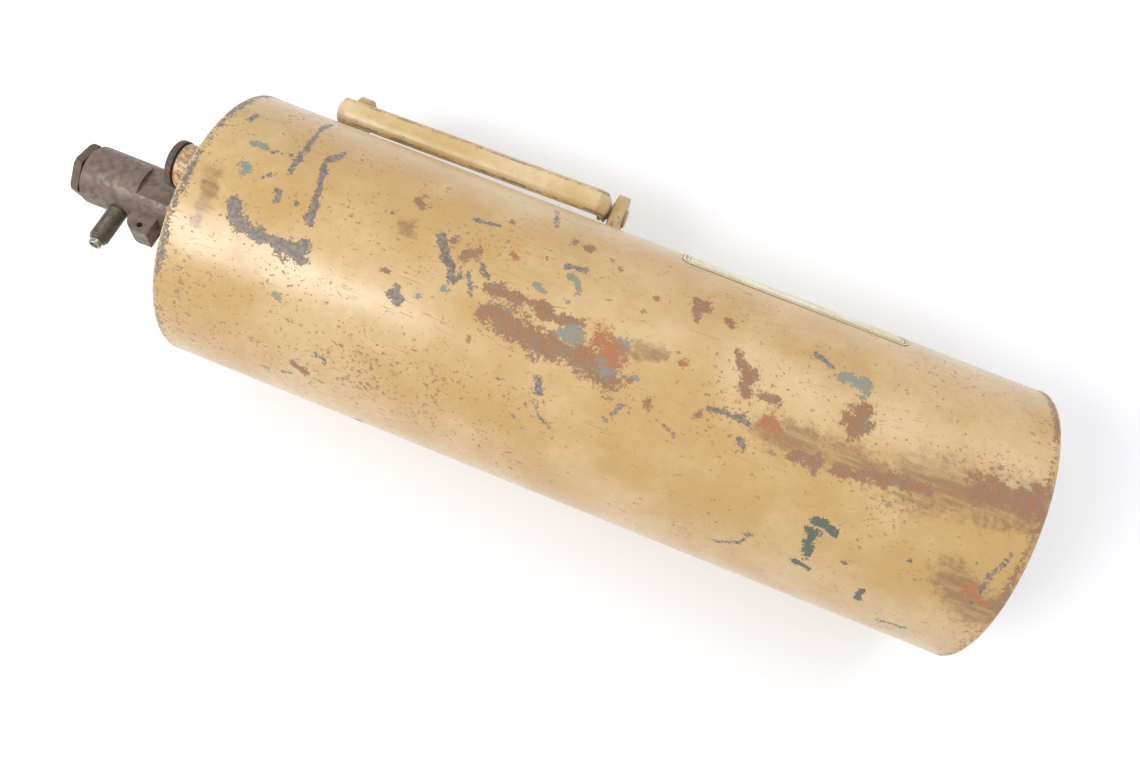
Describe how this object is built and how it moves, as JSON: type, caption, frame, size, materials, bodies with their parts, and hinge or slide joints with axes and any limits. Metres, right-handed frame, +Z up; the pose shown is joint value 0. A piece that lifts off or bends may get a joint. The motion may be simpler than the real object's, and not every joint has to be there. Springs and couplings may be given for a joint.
{
  "type": "portable pressure cylinder",
  "caption": "Steel pressure cylinder lying on its side, with a key-operated valve, charging nipple, filler plug, fold-down carrying handle and blank label.",
  "frame": {"origin": "on the surface that the object rests on, under the middle of the whole object's box", "axes": "+X along the barrel towards its base end, +Y towards the carrying handle, +Z up; the valve is at -X"},
  "size_m": [0.3922, 0.1294, 0.1115],
  "materials": {
    "ochre_paint": "worn satin enamel with rust",
    "valve_steel": "browned, lightly rusted",
    "gland_brass": "tarnished",
    "nipple_steel": "worn plating",
    "core_brass": "dull",
    "copper_washer": "dull copper",
    "black_rubber": "matte",
    "plug_steel": "rusted",
    "tube_steel": "drawn tube",
    "label_film": "cream transfer with a plain border"
  },
  "bodies": {
    "vessel": {"barrel_shell": "ochre_paint", "seam_strip": "ochre_paint", "top_head": "ochre_paint", "base_head": "ochre_paint", "valve_socket": "ochre_paint", "valve_washer": "copper_washer", "valve_body": "valve_steel", "gland_nut": "gland_brass", "gland_packing": "black_rubber", "charging_nipple": "nipple_steel", "core_sleeve": "core_brass", "core_spring": "nipple_steel", "filler_boss": "ochre_paint", "dip_tube": "tube_steel", "strainer": "core_brass", "handle_lug_valve_end": "ochre_paint", "handle_lug_base_end": "ochre_paint", "lug_welds": "ochre_paint", "pivot_pin_valve_end": "ochre_paint", "pivot_pin_base_end": "ochre_paint", "pivot_washers": "ochre_paint", "label": "label_film"},
    "handle": {"handle_bail": "ochre_paint"},
    "seat": {"seat_disc": "black_rubber"},
    "spindle": {"valve_spindle": "valve_steel"},
    "gasket": {"filler_gasket": "black_rubber"},
    "plug": {"filler_plug": "plug_steel"},
    "check_pin": {"core_pin": "core_brass"}
  },
  "joints": [
    {"name": "handle_swing", "type": "hinge", "parent": "vessel", "child": "handle", "pos_m": [-0.04815, 0.05575, 0.0485], "axis": [-1, 0, 0], "range_deg": [0, 180]},
    {"name": "seat_lift", "type": "slide", "parent": "vessel", "child": "seat", "axis": [-1, 0, 0], "range_m": [0, 0.004]},
    {"name": "spindle_turn", "type": "hinge", "parent": "seat", "child": "spindle", "pos_m": [-0.16775, -0.01065, 0.0565], "axis": [-1, 0, 0], "range_deg": [0, 950]},
    {"name": "gasket_lift", "type": "slide", "parent": "vessel", "child": "gasket", "axis": [-1, 0, 0], "range_m": [0, 0.0075]},
    {"name": "plug_turn", "type": "hinge", "parent": "gasket", "child": "plug", "pos_m": [-0.14475, -0.00093, 0.08726], "axis": [-1, 0, 0], "range_deg": [0, 1790]},
    {"name": "check_pin_press", "type": "slide", "parent": "vessel", "child": "check_pin", "axis": [0, 0.9613, -0.2756], "range_m": [0, 0.0012], "stiffness_N_per_m": 400, "springref_m": -0.002}
  ],
  "couplings": [
    {"joint": "seat_lift", "follows": "spindle_turn", "m_per_rad": 0.00023873},
    {"joint": "gasket_lift", "follows": "plug_turn", "m_per_rad": 0.00023873}
  ]
}
